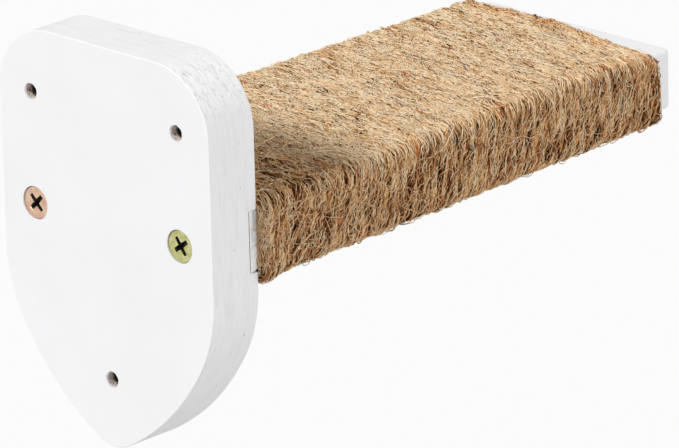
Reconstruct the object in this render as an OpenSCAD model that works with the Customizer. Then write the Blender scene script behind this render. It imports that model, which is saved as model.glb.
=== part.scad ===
// Cat wall step: a shield-shaped wall plate, a tapering board let into it, two screws that run
// through the plate into the board's end, and two jute strands wound side by side round the board.
// The origin lies on the wall face, on the plate's centre line, at the board's mid height.
// For someone who faces the wall, +X is to the right, -Y comes out into the room and +Z is up.

/* [Wall plate] */
// Width of the plate across its straight sides, and of the board where it meets the plate
plate_w = 82; // [74:1:96]
// Thickness of the plate
plate_t = 18; // [15:0.5:24]
// Height of the plate's top edge above the joint screws
plate_top = 52; // [46:1:70]
// Radius of the plate's two top corners
top_corner_r = 20; // [10:1:30]
// Drop from the joint screws to the end of the plate's straight sides
side_drop = 14; // [11:1:24]
// Radius of the shoulders below the straight sides
shoulder_r = 43; // [30:1:55]
// Turn of each shoulder before the flank takes over, in degrees
shoulder_turn = 30; // [20:1:40]
// Radius of the flanks that run down to the tip
flank_r = 78; // [65:1:110]
// Radius of the rounded tip
tip_r = 12.5; // [8:0.5:18]
// Radius of the plate's eased edges
plate_ease = 1.2; // [0.6:0.1:2]

/* [Step board] */
// Thickness of the board
board_t = 18; // [16:0.5:22]
// Distance from the wall to the board's free end
projection = 196; // [130:1:220]
// Width of the board at its free end
board_end_w = 72; // [60:1:82]
// Depth of the groove in the plate that takes the board's end
housing_depth = 3; // [2:0.5:6]
// Radius of the board's free corners, seen from above
board_corner_r = 2.5; // [2:0.5:6]
// Radius of the board's eased edges
board_ease = 1.2; // [0.6:0.1:1.8]

/* [Joint screws] */
// Distance between the two joint screws
screw_spacing = 57; // [40:1:64]
// Diameter of the screws' shanks
screw_d = 5; // [4:0.5:6]
// Diameter of the countersunk heads
screw_head_d = 9.4; // [8:0.1:11]
// Length of a screw, head included
screw_len = 50; // [35:1:70]
// Depth of the heads below the wall face
screw_sink = 0.4; // [0.2:0.1:1]
// Turn of the left screw's cross recess, in degrees
left_cross_turn = 22; // [0:1:89]
// Turn of the right screw's cross recess, in degrees
right_cross_turn = 48; // [0:1:89]

/* [Wall holes] */
// Diameter of the holes for the wall screws
hole_d = 4.2; // [3.5:0.1:6]
// Distance between the two upper holes
hole_spacing = 57; // [40:1:60]
// Height of the upper holes above the joint screws
upper_hole_rise = 33; // [24:1:40]
// Drop of the lower hole below the joint screws
lower_hole_drop = 46; // [24:1:52]

/* [Twine] */
// Width of one strand as it lies on the board
twine_w = 3.7; // [3.2:0.1:5]
// Thickness of one strand as it lies on the board
twine_t = 2.9; // [2.2:0.1:4]
// Gap between one strand and the next
twine_gap = 0.55; // [0.45:0.05:1]
// Bare board left at the free end, at least
bare_end = 7; // [5:0.5:20]
// Bare board between the plate and the first strand
first_gap = 0.7; // [0.7:0.1:4]

/* [Staples] */
// Thickness of the staples' wire
staple_t = 0.7; // [0.5:0.05:0.75]
// Width of the staples' wire
staple_w = 1.25; // [0.8:0.05:1.6]
// Length of the staples' legs
staple_leg = 6; // [5:0.5:7]

/* [Hidden] */
$fn = 96;

// How far a cut runs past the face that it opens
overrun = 1;
// Greatest distance between an arc of an outline and its facets, and facets across an eased edge
chord_error = 0.03;
ease_steps = 4;

// Plate outline: a chain of arcs, each tangent to the next, from the top corner to the tip
plate_half = plate_w / 2;
corner_centre = [plate_half - top_corner_r, plate_top - top_corner_r];
shoulder_centre = [plate_half - shoulder_r, -side_drop];
shoulder_end = [cos(shoulder_turn), -sin(shoulder_turn)];
flank_centre = shoulder_centre + (shoulder_r - flank_r) * shoulder_end;
flank_turn = acos(-flank_centre.x / (flank_r - tip_r));
flank_end = [cos(flank_turn), -sin(flank_turn)];
tip_centre = flank_centre + (flank_r - tip_r) * flank_end;
plate_half_arcs = [
    [corner_centre, top_corner_r, 90, 0],
    [shoulder_centre, shoulder_r, 0, -shoulder_turn],
    [flank_centre, flank_r, -shoulder_turn, -flank_turn]
];
plate_arcs = concat(
    plate_half_arcs,
    [[tip_centre, tip_r, -flank_turn, flank_turn - 180]],
    mirrored(plate_half_arcs)
);

// Board: it seats on the groove's floor and tapers evenly from there to its free end
board_seat = plate_t - housing_depth;
taper = atan((plate_half - board_end_w / 2) / (projection - board_seat));
// The blank's back corners lie where the seat cuts them off
board_back_out = board_seat - board_corner_r - overrun;
board_half_arcs = [
    [board_corner(board_back_out), board_corner_r, 90, -taper],
    [board_corner(projection - board_corner_r), board_corner_r, -taper, -90]
];
board_arcs = concat(board_half_arcs, mirrored(board_half_arcs));
// Clearance round the board in its groove
housing_clear = 0.1;

// Screws: countersunk heads with a thin rim and a sharp point
screw_rim = 0.4;
screw_cone = (screw_head_d - screw_d) / 2;
screw_point = screw_d;
// Clearance round the screws in their seats and pilot holes
screw_clear = 0.1;
// Cross recess of the screw heads
recess_l = 5.2;
recess_w = 1.1;
recess_depth = 2;

// Winding: two strands side by side, square to the board on its sides and top, crossing below it
strand_pitch = twine_w + twine_gap;
turn_advance = 2 * strand_pitch;
turns = floor((projection - bare_end - plate_t - first_gap + twine_gap) / turn_advance);
first_out = plate_t + first_gap + twine_w / 2;
last_out = first_out + (turns - 1) * turn_advance;
// Clearance between the twine and the board
twine_clear = 0.1;
path_r = board_ease + twine_clear + twine_t / 2;
path_rise = board_t / 2 + twine_clear + twine_t / 2;
// Sides of a strand's section, and steps of its path round each edge of the board
strand_sides = 6;
edge_steps = 3;
rings_per_turn = 4 * (edge_steps + 1);
// Signs of X and Z at the board's edges, in the order in which a turn passes them
edge_signs = [[-1, -1], [-1, 1], [1, 1], [1, -1]];
// Each strand's tail below the board, with places along it and where the staple squeezes it
tail_len = 10;
tail_shares = [1, 0.5, 0.25];
tail_squeezed = [true, true, false];
staple_place_share = 0.75;
squeezed_w_share = 0.65;
squeezed_t_share = 0.7;

// Staples: the crown spans both tails, and the legs stand in slots in the board
staple_clear = 0.15;
slot_clear = 0.1;
staple_half = (strand_pitch + squeezed_w_share * twine_w) / 2 + staple_clear;
staple_face = -board_t / 2 - twine_clear - squeezed_t_share * twine_t - staple_clear;

// An outline is a list of arcs, clockwise: each holds its centre, radius, first angle and last angle
// The mirror image of such arcs across the centre line, still clockwise
function mirrored(arcs) = [
    for (i = [len(arcs) - 1 : -1 : 0])
        let (arc = arcs[i])
        [[-arc[0].x, arc[0].y], arc[1], 180 - arc[3], 180 - arc[2]]
];

// Facets of an arc, as an even count
function arc_steps(r, sweep) = 2 * ceil(abs(sweep) / (4 * acos(1 - chord_error / r)));

// One ring of a slab at a given height, inset from its outline
function slab_ring(arcs, inset, height) = [
    for (arc = arcs)
        let (steps = arc_steps(arc[1], arc[3] - arc[2]))
        for (i = [0 : steps])
            let (
                turn = arc[2] + (arc[3] - arc[2]) * i / steps,
                place = arc[0] + (arc[1] - inset) * [cos(turn), sin(turn)]
            )
            [place.x, place.y, height]
];

// Centre of a rounded corner of the board on the right, at a distance out from the wall
function board_corner(out) = [board_half(out) - board_corner_r / cos(taper), -out];

// Half the board's width at a distance out from the wall
function board_half(out) = plate_half - (out - board_seat) * tan(taper);

// Half the straight run of a strand's path below the board, at a distance out from the wall
function path_run(out) = board_half(out) + twine_clear + twine_t / 2 - path_r;

// Advance of a strand below the board for each millimetre across it
function path_slope(out) = turn_advance / (2 * path_run(out));

// Points of one ring of a strand: a flat-sided section that faces along the given lean in the XZ plane
function ring(centre, lean, w, t) = [
    for (side = [0 : strand_sides - 1])
        let (
            turn = 360 * side / strand_sides,
            half_w = w / 2,
            half_t = t / 2 / cos(180 / strand_sides)
        )
        centre
            + half_w * cos(turn) * [0, -1, 0]
            + half_t * sin(turn) * [cos(lean), 0, sin(lean)]
];

// Ring of a turn at one of the board's four edges
function edge_ring(out, edge, step) =
    let (
        lean = 270 - 90 * edge - 90 * step / edge_steps,
        middle = [edge_signs[edge].x * path_run(out), -out, edge_signs[edge].y * (path_rise - path_r)]
    )
    ring(middle + path_r * [cos(lean), 0, sin(lean)], lean, twine_w, twine_t);

// Ring of a tail below the board, at a distance along it from the edge on the given side
function tail_ring(out, side, along, squeezed) =
    let (
        w = squeezed ? squeezed_w_share * twine_w : twine_w,
        t = squeezed ? squeezed_t_share * twine_t : twine_t,
        centre = tail_place(out, side, along, -board_t / 2 - twine_clear - t / 2)
    )
    ring(centre, 270, w, t);

// Point on a tail's path, at a given height
function tail_place(out, side, along, height) = [
    side * (path_run(out) - along),
    -out - side * path_slope(out) * along,
    height
];

// All rings of one strand, from the tail by the plate to the tail by the free end
function strand_rings(offset) =
    let (places = len(tail_shares) - 1)
    concat(
        [
            for (i = [0 : places])
                tail_ring(first_out + offset, -1, tail_shares[i] * tail_len, tail_squeezed[i])
        ],
        [
            for (turn = [0 : turns - 1])
                for (edge = [0 : 3])
                    for (step = [0 : edge_steps])
                        edge_ring(first_out + offset + turn * turn_advance, edge, step)
        ],
        [
            for (i = [places : -1 : 0])
                tail_ring(last_out + offset, 1, tail_shares[i] * tail_len, tail_squeezed[i])
        ]
    );

// Least distance between the points of two lists of rings, taken ring by ring
function least_gap(rings_a, rings_b, shift) = min([
    for (i = [0 : len(rings_a) - 1 - shift])
        for (a = rings_a[i])
            for (b = rings_b[i + shift])
                norm(a - b)
]);

first_rings = strand_rings(0);
second_rings = strand_rings(strand_pitch);
echo(turns = turns);
echo(least_gap_first_strand_to_itself = least_gap(first_rings, first_rings, rings_per_turn));
echo(least_gap_second_strand_to_itself = least_gap(second_rings, second_rings, rings_per_turn));
echo(least_gap_first_to_second = least_gap(first_rings, second_rings, 0));
echo(least_gap_second_to_next_first = least_gap(second_rings, first_rings, rings_per_turn));

// Turns a shape drawn on its wall face upright: its Y becomes up, its Z comes out from the wall
module from_wall() {
    rotate([90, 0, 0])
        children();
}

// Draws a shape and its mirror image across the centre line
module both_sides() {
    for (side = [0, 1])
        mirror([side, 0, 0])
            children();
}

// One unbroken solid through a list of rings with as many points each, closed at both ends
module loft(rings) {
    sides = len(rings[0]);
    last = len(rings) - 1;
    points = [for (one = rings) for (p = one) p];
    walls = [
        for (i = [0 : last - 1])
            for (side = [0 : sides - 1])
                let (
                    next = (side + 1) % sides,
                    a = i * sides + side,
                    b = i * sides + next,
                    c = a + sides,
                    d = b + sides
                )
                each [[a, b, d], [a, d, c]]
    ];
    first_cap = [for (side = [1 : sides - 2]) [0, side + 1, side]];
    end_cap = [for (side = [1 : sides - 2]) last * sides * [1, 1, 1] + [0, side, side + 1]];
    polyhedron(points, concat(walls, first_cap, end_cap));
}

// Slab of an outline of arcs, with eased edges all round
module eased_slab(arcs, t, ease) {
    swings = [for (i = [0 : ease_steps]) 90 * i / ease_steps];
    foot = [for (swing = swings) slab_ring(arcs, ease * (1 - sin(swing)), ease * (1 - cos(swing)))];
    head = [for (swing = swings) slab_ring(arcs, ease * (1 - cos(swing)), t - ease * (1 - sin(swing)))];
    loft(concat(foot, head));
}

// Groove across the plate's front face, which takes the board's end
module housing_cut() {
    height = board_t + 2 * housing_clear;
    translate([-plate_half - overrun, -height / 2, board_seat])
        cube([plate_w + 2 * overrun, height, housing_depth + overrun]);
}

// Countersunk seat and clearance hole for one joint screw
module screw_seat() {
    head_r = screw_head_d / 2 + screw_clear;
    shank_r = screw_d / 2 + screw_clear;
    rotate_extrude()
        polygon([
            [0, -overrun],
            [head_r, -overrun],
            [head_r, screw_sink + screw_rim],
            [shank_r, screw_sink + screw_rim + screw_cone],
            [shank_r, plate_t],
            [0, plate_t]
        ]);
}

module wall_plate() {
    hole_places = [
        [-hole_spacing / 2, upper_hole_rise],
        [hole_spacing / 2, upper_hole_rise],
        [0, -lower_hole_drop]
    ];
    color("white")
        from_wall()
            difference() {
                eased_slab(plate_arcs, plate_t, plate_ease);
                housing_cut();
                both_sides()
                    translate([screw_spacing / 2, 0, 0])
                        screw_seat();
                for (place = hole_places)
                    translate([place.x, place.y, -overrun])
                        cylinder(d = hole_d, h = plate_t + 2 * overrun);
            }
}

// Pilot hole in the board's end for one joint screw
module pilot_hole() {
    depth = screw_sink + screw_len + screw_clear;
    translate([0, 0, board_seat - overrun])
        cylinder(d = screw_d + 2 * screw_clear, h = depth - board_seat + overrun);
}

module step_board() {
    color("white")
        difference() {
            translate([0, 0, -board_t / 2])
                eased_slab(board_arcs, board_t, board_ease);
            translate([-plate_w, -board_seat, -board_t])
                cube([2 * plate_w, plate_t, 2 * board_t]);
            from_wall()
                both_sides()
                    translate([screw_spacing / 2, 0, 0])
                        pilot_hole();
            at_inner_staple()
                staple_slots();
            at_outer_staple()
                staple_slots();
        }
}

// Countersunk wood screw with a cross recess, its head towards the wall
module joint_screw(place, cross_turn) {
    head_r = screw_head_d / 2;
    shank_r = screw_d / 2;
    from_wall()
        translate([place, 0, screw_sink])
            difference() {
                rotate_extrude()
                    polygon([
                        [0, 0],
                        [head_r, 0],
                        [head_r, screw_rim],
                        [shank_r, screw_rim + screw_cone],
                        [shank_r, screw_len - screw_point],
                        [0, screw_len]
                    ]);
                translate([0, 0, -overrun])
                    rotate([0, 0, cross_turn])
                        linear_extrude(recess_depth + overrun) {
                            square([recess_l, recess_w], center = true);
                            square([recess_w, recess_l], center = true);
                        }
            }
}

module left_screw() {
    color("darkkhaki")
        joint_screw(-screw_spacing / 2, left_cross_turn);
}

module right_screw() {
    color("rosybrown")
        joint_screw(screw_spacing / 2, right_cross_turn);
}

module first_strand() {
    color("burlywood")
        loft(first_rings);
}

module second_strand() {
    color("tan")
        loft(second_rings);
}

// Places a shape on the pair of tails, with X along the tails and Z up
module at_tails(out, side) {
    along = staple_place_share * tail_len;
    place = tail_place(out + strand_pitch / 2, side, along, staple_face);
    translate(place)
        rotate([0, 0, atan(path_slope(out))])
            children();
}

module at_inner_staple() {
    at_tails(first_out, -1)
        children();
}

module at_outer_staple() {
    at_tails(last_out, 1)
        children();
}

// Staple with its crown below the tails and chisel points on its legs
module staple() {
    outer = staple_half + staple_t;
    outline = [
        [-outer, -staple_t],
        [outer, -staple_t],
        [outer, staple_leg - staple_t],
        [staple_half, staple_leg],
        [staple_half, 0],
        [-staple_half, 0],
        [-staple_half, staple_leg],
        [-outer, staple_leg - staple_t]
    ];
    rotate([90, 0, 90])
        linear_extrude(staple_w, center = true)
            polygon(outline);
}

// Slots in the board for the legs of one staple
module staple_slots() {
    slot_w = staple_w + 2 * slot_clear;
    slot_t = staple_t + 2 * slot_clear;
    for (side = [-1, 1])
        translate([-slot_w / 2, side * (staple_half + staple_t / 2) - slot_t / 2, 0])
            cube([slot_w, slot_t, staple_leg + slot_clear]);
}

module inner_staple() {
    color("silver")
        at_inner_staple()
            staple();
}

module outer_staple() {
    color("silver")
        at_outer_staple()
            staple();
}

wall_plate();
step_board();
left_screw();
right_screw();
first_strand();
second_strand();
inner_staple();
outer_staple();
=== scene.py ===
"""Looks of a cat wall step: a white shield plate, a tapering board wound with jute twine, and two screws.

Everything is in metres in the part's own frame: the wall face lies at Y = 0, the board comes out
along -Y and +Z is up. Lengths in the classes are millimetres, the unit that the maker works in.
"""

import logging
import math
from dataclasses import dataclass, field
from enum import Enum
from functools import partial
from typing import Callable, Sequence

import bpy
import numpy as np
from mathutils import Matrix, Vector


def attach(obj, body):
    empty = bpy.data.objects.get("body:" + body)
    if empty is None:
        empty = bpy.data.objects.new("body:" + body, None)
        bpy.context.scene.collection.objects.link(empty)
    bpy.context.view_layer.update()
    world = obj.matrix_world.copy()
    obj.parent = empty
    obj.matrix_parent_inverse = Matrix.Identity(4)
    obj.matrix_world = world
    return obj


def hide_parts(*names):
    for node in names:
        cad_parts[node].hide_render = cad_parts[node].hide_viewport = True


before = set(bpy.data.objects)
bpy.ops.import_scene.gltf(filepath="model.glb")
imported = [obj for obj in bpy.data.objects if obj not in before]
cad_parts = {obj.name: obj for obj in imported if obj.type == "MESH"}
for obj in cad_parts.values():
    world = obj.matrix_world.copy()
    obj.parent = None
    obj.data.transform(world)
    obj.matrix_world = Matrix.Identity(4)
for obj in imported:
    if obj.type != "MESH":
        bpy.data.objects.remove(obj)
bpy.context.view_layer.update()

MM = 0.001
BODY = "root"
# Where the two joint screws lie across the plate.
SCREW_PLACES = (-28.5, 28.5)
LOG = logging.getLogger("cat_wall_step")
# How far the winding's top is trodden flat and painted paler as painted light, by distances out from the
# wall.
TRODDEN_AND_LIT_OUT = (44.0, 66.0, 181.0, 187.0)
TRODDEN_AND_LIT = (0.0, 1.0, 1.0, 0.2)
# A turn of twine has eight stretches, and on the last it runs back below the board to the next turn.
STRETCHES = 8
BELOW = 7

Piece = bpy.types.Object
Material = bpy.types.Material
Tree = bpy.types.NodeTree
Array = np.ndarray
Rng = np.random.Generator
Test = Callable[[Vector], bool]
Pair = tuple[float, float]
Pairs = tuple[Pair, ...]
Triple = tuple[float, float, float]
Stops = tuple[tuple[float, str], ...]
Inputs = dict[str | int, object]
Adder = Callable[..., bpy.types.Node]


class Pick(Enum):
    """What a selection takes."""

    VERTICES = "vertices"
    EDGES = "edges"


class Axis(Enum):
    """Directions of the part's frame, as unit vectors."""

    ACROSS = (1.0, 0.0, 0.0)
    TO_WALL = (0.0, 1.0, 0.0)
    UP = (0.0, 0.0, 1.0)


def srgb(code: str) -> tuple[float, float, float, float]:
    """Turn an sRGB hex colour into linear RGBA.

    Args:
        code: Six hex digits, with or without a leading hash sign.

    Returns:
        The linear red, green and blue, and an alpha of 1.
    """
    digits = code.lstrip("#")
    shares = [int(digits[i:i + 2], 16) / 255 for i in (0, 2, 4)]
    red, green, blue = (s / 12.92 if s <= 0.04045 else ((s + 0.055) / 1.055) ** 2.4 for s in shares)
    return red, green, blue, 1.0


def feed(tree: Tree, node: bpy.types.Node, inputs: Inputs) -> None:
    """Set or link a node's inputs.

    Args:
        tree: The node's tree.
        node: The node to feed.
        inputs: Socket name or number against a value, an sRGB hex colour, or the node or output
            that feeds it.
    """
    for key, value in inputs.items():
        named = [socket for socket in node.inputs if socket.enabled and socket.name == key]
        socket = named[0] if named else node.inputs[key]
        if isinstance(value, bpy.types.Node):
            value = next(output for output in value.outputs if output.enabled)
        if isinstance(value, bpy.types.NodeSocket):
            tree.links.new(value, socket)
        else:
            socket.default_value = srgb(value) if isinstance(value, str) else value


def add_node(tree: Tree, kind: str, inputs: Inputs | None = None, stops: Stops = (),
             **settings: object) -> bpy.types.Node:
    """Add a shader node with its settings, values and links.

    Args:
        tree: The node tree that gets the node.
        kind: Blender's name of the node type, less the ShaderNode in front.
        inputs: What its sockets get, as for feed.
        stops: Place from 0 to 1 and sRGB hex colour of each stop, in order, for a colour ramp.
        **settings: Properties of the node itself.

    Returns:
        The new node.
    """
    node = tree.nodes.new(f"ShaderNode{kind}")
    for name, value in settings.items():
        setattr(node, name, value)
    feed(tree, node, inputs or {})
    if stops:
        elements = node.color_ramp.elements
        while len(elements) < len(stops):
            elements.new(1.0)
        for element, (place, code) in zip(elements, stops):
            element.position = place
            element.color = srgb(code)
    return node


def per_mm(*sizes: float) -> tuple[float, ...]:
    """Scales at which a texture's features have these sizes in millimetres."""
    return tuple(1 / (size * MM) for size in sizes)


def new_material(name: str) -> tuple[Material, Adder, Callable[[Inputs], None]]:
    """Start a node material.

    Args:
        name: The material's name.

    Returns:
        The material, add_node for its tree, and feed for its Principled shader.
    """
    material = bpy.data.materials.new(name)
    material.use_nodes = True
    tree = material.node_tree
    return material, partial(add_node, tree), partial(feed, tree, tree.nodes["Principled BSDF"])


@dataclass(frozen=True)
class PaintedWood:
    """Satin white paint, rolled on solid wood: fine stipple on the faces, open end grain on the sides."""

    name: str
    paint: str = "#F2F3F5"
    thin_paint: str = "#EAE9E9"
    grain: str = "#E8E7E8"
    scratch: str = "#E0DDDE"
    pit: str = "#8C857D"
    stipple_mm: float = 0.7
    blotch_mm: float = 28.0
    streak_mm: Triple = (11.0, 1.2, 11.0)
    scratch_mm: Triple = (2.2, 0.8, 2.2)
    pit_mm: Triple = (2.2, 0.7, 2.2)
    pit_lean: Pair = (0.7, 0.3)
    scratch_slant: Pair = (0.15, 0.4)
    gloss: Pair = (0.36, 0.52)

    def material(self) -> Material:
        """Make the paint's material.

        Returns:
            The material.
        """
        material, add, shade = new_material(self.name)
        coords = add("TexCoord")
        place = coords.outputs["Object"]
        facing = add("SeparateXYZ", {"Vector": coords.outputs["Normal"]}).outputs
        blotch, stipple = (
            add("TexNoise", {"Vector": place, "Scale": per_mm(size)[0], "Detail": detail})
            for size, detail in ((self.blotch_mm, 3.0), (self.stipple_mm, 2.0)))
        streak, scratch, pit = (
            add("TexNoise", {"Vector": add("Mapping", {"Vector": place, "Scale": per_mm(*size)}),
                             "Scale": 1.0, **kind})
            for size, kind in ((self.streak_mm, {"Detail": 3.0, "Roughness": 0.6}),
                               (self.scratch_mm, {"Detail": 2.0, "Distortion": 0.6}),
                               (self.pit_mm, {"Detail": 1.0})))
        lean, aslant = (add("Math", {0: facing[axis]}, operation="ABSOLUTE") for axis in "YX")
        slant = add("Math", {0: aslant, 1: facing["Z"]}, operation="MULTIPLY")
        open_grain, across_grain = (
            add("MapRange", {"Value": value, "From Min": low, "From Max": high})
            for value, (low, high) in ((lean, self.pit_lean), (slant, self.scratch_slant)))
        raised, torn, pitted = (
            add("Math", {0: add("MapRange", {"Value": pattern, "From Min": low, "From Max": high}),
                         1: where}, operation="MULTIPLY")
            for pattern, low, high, where in ((streak, 0.48, 0.68, open_grain),
                                              (scratch, 0.54, 0.66, across_grain),
                                              (pit, 0.77, 0.84, open_grain)))
        colour = add("Mix", {"Factor": blotch, "A": self.paint, "B": self.thin_paint}, data_type="RGBA")
        for share, bared in ((raised, self.grain), (torn, self.scratch), (pitted, self.pit)):
            colour = add("Mix", {"Factor": share, "A": colour, "B": bared}, data_type="RGBA")
        gloss = add("MapRange", {"Value": streak, "To Min": self.gloss[0], "To Max": self.gloss[1]})
        shade({"Base Color": colour, "Roughness": gloss})
        under = {}
        for height, strength, depth, hollow in ((streak, 0.35, 0.25, False), (torn, 0.5, 0.2, True),
                                                (pitted, 0.6, 0.3, True), (stipple, 0.12, 0.08, False)):
            bump = add("Bump", {"Height": height, "Strength": strength, "Distance": depth * MM, **under},
                       invert=hollow)
            under = {"Normal": bump}
        shade(under)
        return material


@dataclass(frozen=True)
class RawWood:
    """Bare wood in the drilled holes: torn pale fibres, paint run in at the rim, and darker further in as
    painted shade of the hole's depth.
    """

    name: str = "raw_wood_in_drilled_holes"
    pale: str = "#FBF0E0"
    dark: str = "#6A4E3C"
    painted_hole_shade: str = "#1C100B"
    paint: str = "#C9C3CA"
    ring_mm: Triple = (1.0, 0.8, 0.8)
    paint_mm: Pair = (1.9, 0.7)
    painted_hole_shade_mm: Pair = (1.9, 3.0)

    def material(self) -> Material:
        """Make the bare wood's material.

        Returns:
            The material.
        """
        material, add, shade = new_material(self.name)
        place = add("TexCoord").outputs["Object"]
        along = add("Mapping", {"Vector": place, "Scale": per_mm(*self.ring_mm)})
        ring = add("TexNoise", {"Vector": along, "Scale": 1.0, "Detail": 4.0, "Roughness": 0.7})
        colour = add("ValToRGB", {"Fac": ring}, ((0.38, self.dark), (0.54, self.pale)))
        depth = add("SeparateXYZ", {"Vector": place}).outputs["Y"]
        ragged = add("Math", {0: ring, 1: -2 * self.paint_mm[1] * MM, 2: depth}, operation="MULTIPLY_ADD")
        # Painted shade: the walls darken from 1.9 to 3 mm in from the wall face; nearer the rim the paint
        # runs in.
        for value, (first, last), over in ((depth, self.painted_hole_shade_mm, self.painted_hole_shade),
                                           (ragged, self.paint_mm, self.paint)):
            share = add("MapRange", {"Value": value, "From Min": -first * MM, "From Max": -last * MM})
            colour = add("Mix", {"Factor": share, "A": colour, "B": over}, data_type="RGBA")
        torn = add("Bump", {"Height": ring, "Strength": 0.8, "Distance": 0.3 * MM})
        shade({"Base Color": colour, "Roughness": 0.85, "Normal": torn})
        return material


@dataclass(frozen=True)
class PlatedSteel:
    """Zinc plating with a chromate tint: a soft metal sheen that goes dull and patchy with handling."""

    name: str
    stops: Stops
    patch_mm: Triple = (2.4, 2.4, 2.4)
    patch_detail: float = 3.0
    scuff_mm: Triple = (0.35, 0.35, 0.35)
    gloss: Pair = (0.28, 0.5)
    dents: float = 0.2
    metallic: float = 1.0
    specular: float = 0.5

    def material(self) -> Material:
        """Make the steel's material.

        Returns:
            The material.
        """
        material, add, shade = new_material(self.name)
        place = add("TexCoord").outputs["Object"]
        patch, scuff = (
            add("TexNoise", {"Vector": add("Mapping", {"Vector": place, "Scale": per_mm(*size)}),
                             "Scale": 1.0, "Detail": detail})
            for size, detail in ((self.patch_mm, self.patch_detail), (self.scuff_mm, 2.0)))
        gloss = add("MapRange", {"Value": scuff, "To Min": self.gloss[0], "To Max": self.gloss[1]})
        shade({"Base Color": add("ValToRGB", {"Fac": patch}, self.stops), "Roughness": gloss,
               "Metallic": self.metallic, "Specular IOR Level": self.specular})
        if self.dents:
            bump = add("Bump", {"Height": scuff, "Strength": self.dents, "Distance": 0.05 * MM})
            shade({"Normal": bump})
        return material


@dataclass(frozen=True)
class PaintedShadeRecess(PlatedSteel):
    """Plating in a driven screw's recess: rubbed dull, and near black without metal sheen as painted
    shade of its depth.
    """

    name: str = "screw_recess_painted_shade"
    stops: Stops = ((0.4, "#14110E"), (0.7, "#3A342B"))
    patch_mm: Triple = (0.5, 0.5, 0.5)
    patch_detail: float = 2.0
    scuff_mm: Triple = (0.5, 0.5, 0.5)
    gloss: Pair = (0.4, 0.7)
    dents: float = 0.0
    metallic: float = 0.0
    specular: float = 0.3


@dataclass(frozen=True)
class GalvanisedWire(PlatedSteel):
    """Flat galvanised staple wire: bright, with fine drawing marks along it."""

    name: str = "galvanised_staple_wire"
    stops: Stops = ((0.35, "#97999B"), (0.6, "#C9CBCC"))
    patch_mm: Triple = (0.3, 2.5, 0.3)
    patch_detail: float = 2.0
    scuff_mm: Triple = (0.3, 2.5, 0.3)
    gloss: Pair = (0.25, 0.45)
    dents: float = 0.0


@dataclass(frozen=True)
class JuteTwine:
    """Loosely twisted jute streaked along the strand, coloured dark as painted shade under the loose
    fibres, darkest low on the strand and in its grooves, and paler where its top faces up as painted
    light.
    """

    name: str = "jute_twine"
    groove: str = "#28140A"
    brown: str = "#522C14"
    tan: str = "#82502A"
    straw: str = "#A87644"
    lit_top_colour: str = "#D6B27E"
    fibre_mm: Triple = (5.0, 0.5, 1.0)
    cloud_mm: float = 22.0

    def material(self) -> Material:
        """Make the twine's material, which follows the strand by its own map and height.

        Returns:
            The material.
        """
        material, add, shade = new_material(self.name)
        coords = add("TexCoord")
        place = coords.outputs["Object"]
        along = add("Mapping", {"Vector": add("UVMap", uv_map="lay"), "Scale": per_mm(*self.fibre_mm)})
        fibre = add("TexNoise", {"Vector": along, "Scale": 1.0, "Detail": 4.0, "Roughness": 0.65})
        cloud = add("TexNoise", {"Vector": place, "Scale": per_mm(self.cloud_mm)[0], "Detail": 2.0})
        clouded = add("Math", {0: cloud, 1: 0.35, 2: -0.17}, operation="MULTIPLY_ADD")
        tone = add("Math", {0: fibre, 1: clouded}, operation="ADD")
        colour = add("ValToRGB", {"Fac": tone}, (
            (0.38, self.groove), (0.47, self.brown), (0.55, self.tan), (0.66, self.straw)))
        # Painted light: the twine is mixed towards a pale colour where its top faces up, away from the
        # plate.
        facing = add("SeparateXYZ", {"Vector": coords.outputs["Normal"]}).outputs["Z"]
        upward = add("MapRange", {"Value": facing, "From Min": 0.3, "From Max": 0.95, "To Max": 0.85})
        out = add("SeparateXYZ", {"Vector": place}).outputs["Y"]
        trodden_and_lit = add("MapRange", {
            "Value": out, "From Min": -TRODDEN_AND_LIT_OUT[0] * MM, "From Max": -TRODDEN_AND_LIT_OUT[1] * MM})
        worn_and_lit = add("Math", {0: upward, 1: trodden_and_lit}, operation="MULTIPLY")
        lit_top_mix = add("Mix", {"Factor": worn_and_lit, "A": colour, "B": self.lit_top_colour}, data_type="RGBA")
        # Painted shade: the strand goes to the groove colour low on its side towards the board and in the
        # groove between its plies.
        height = add("Attribute", attribute_name="height").outputs["Fac"]
        depth = add("MapRange", {"Value": height, "From Min": 0.15, "From Max": 0.7},
                    interpolation_type="SMOOTHSTEP")
        shaded_low = add("Mix", {"Factor": depth, "A": self.groove, "B": lit_top_mix}, data_type="RGBA")
        ridges = add("Bump", {"Height": fibre, "Strength": 0.9, "Distance": 0.35 * MM})
        shade({"Base Color": shaded_low, "Roughness": 0.9, "Specular IOR Level": 0.08, "Normal": ridges})
        return material


@dataclass(frozen=True)
class JuteFibre:
    """Single jute fibres: flat and dull, from brown bark to pale straw, a few of them rusty."""

    name: str = "jute_fibre"
    stops: Stops = (
        (0.0, "#22110A"), (0.14, "#743C20"), (0.38, "#C0804E"), (0.55, "#E2B07A"), (0.74, "#F6CE9C"),
        (0.86, "#F1DAB6"), (0.94, "#EFE1CA"), (0.965, "#CC7E46"), (1.0, "#A04E3C"))
    stain: str = "#E2CDB0"
    stain_mm: float = 1.1

    def material(self) -> Material:
        """Make the fibres' material, tinted along each fibre.

        Returns:
            The material.
        """
        material, add, shade = new_material(self.name)
        tint = add("Attribute", attribute_name="tint").outputs["Fac"]
        colour = add("ValToRGB", {"Fac": tint}, self.stops)
        place = add("TexCoord").outputs["Object"]
        stain = add("TexNoise", {"Vector": place, "Scale": per_mm(self.stain_mm)[0], "Detail": 2.0})
        share = add("MapRange", {"Value": stain, "From Min": 0.45, "From Max": 0.7})
        stained = add("Mix", {"Factor": share, "A": colour, "B": self.stain},
                      data_type="RGBA", blend_type="MULTIPLY")
        shade({"Base Color": stained, "Roughness": 0.8, "Specular IOR Level": 0.08})
        return material


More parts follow.
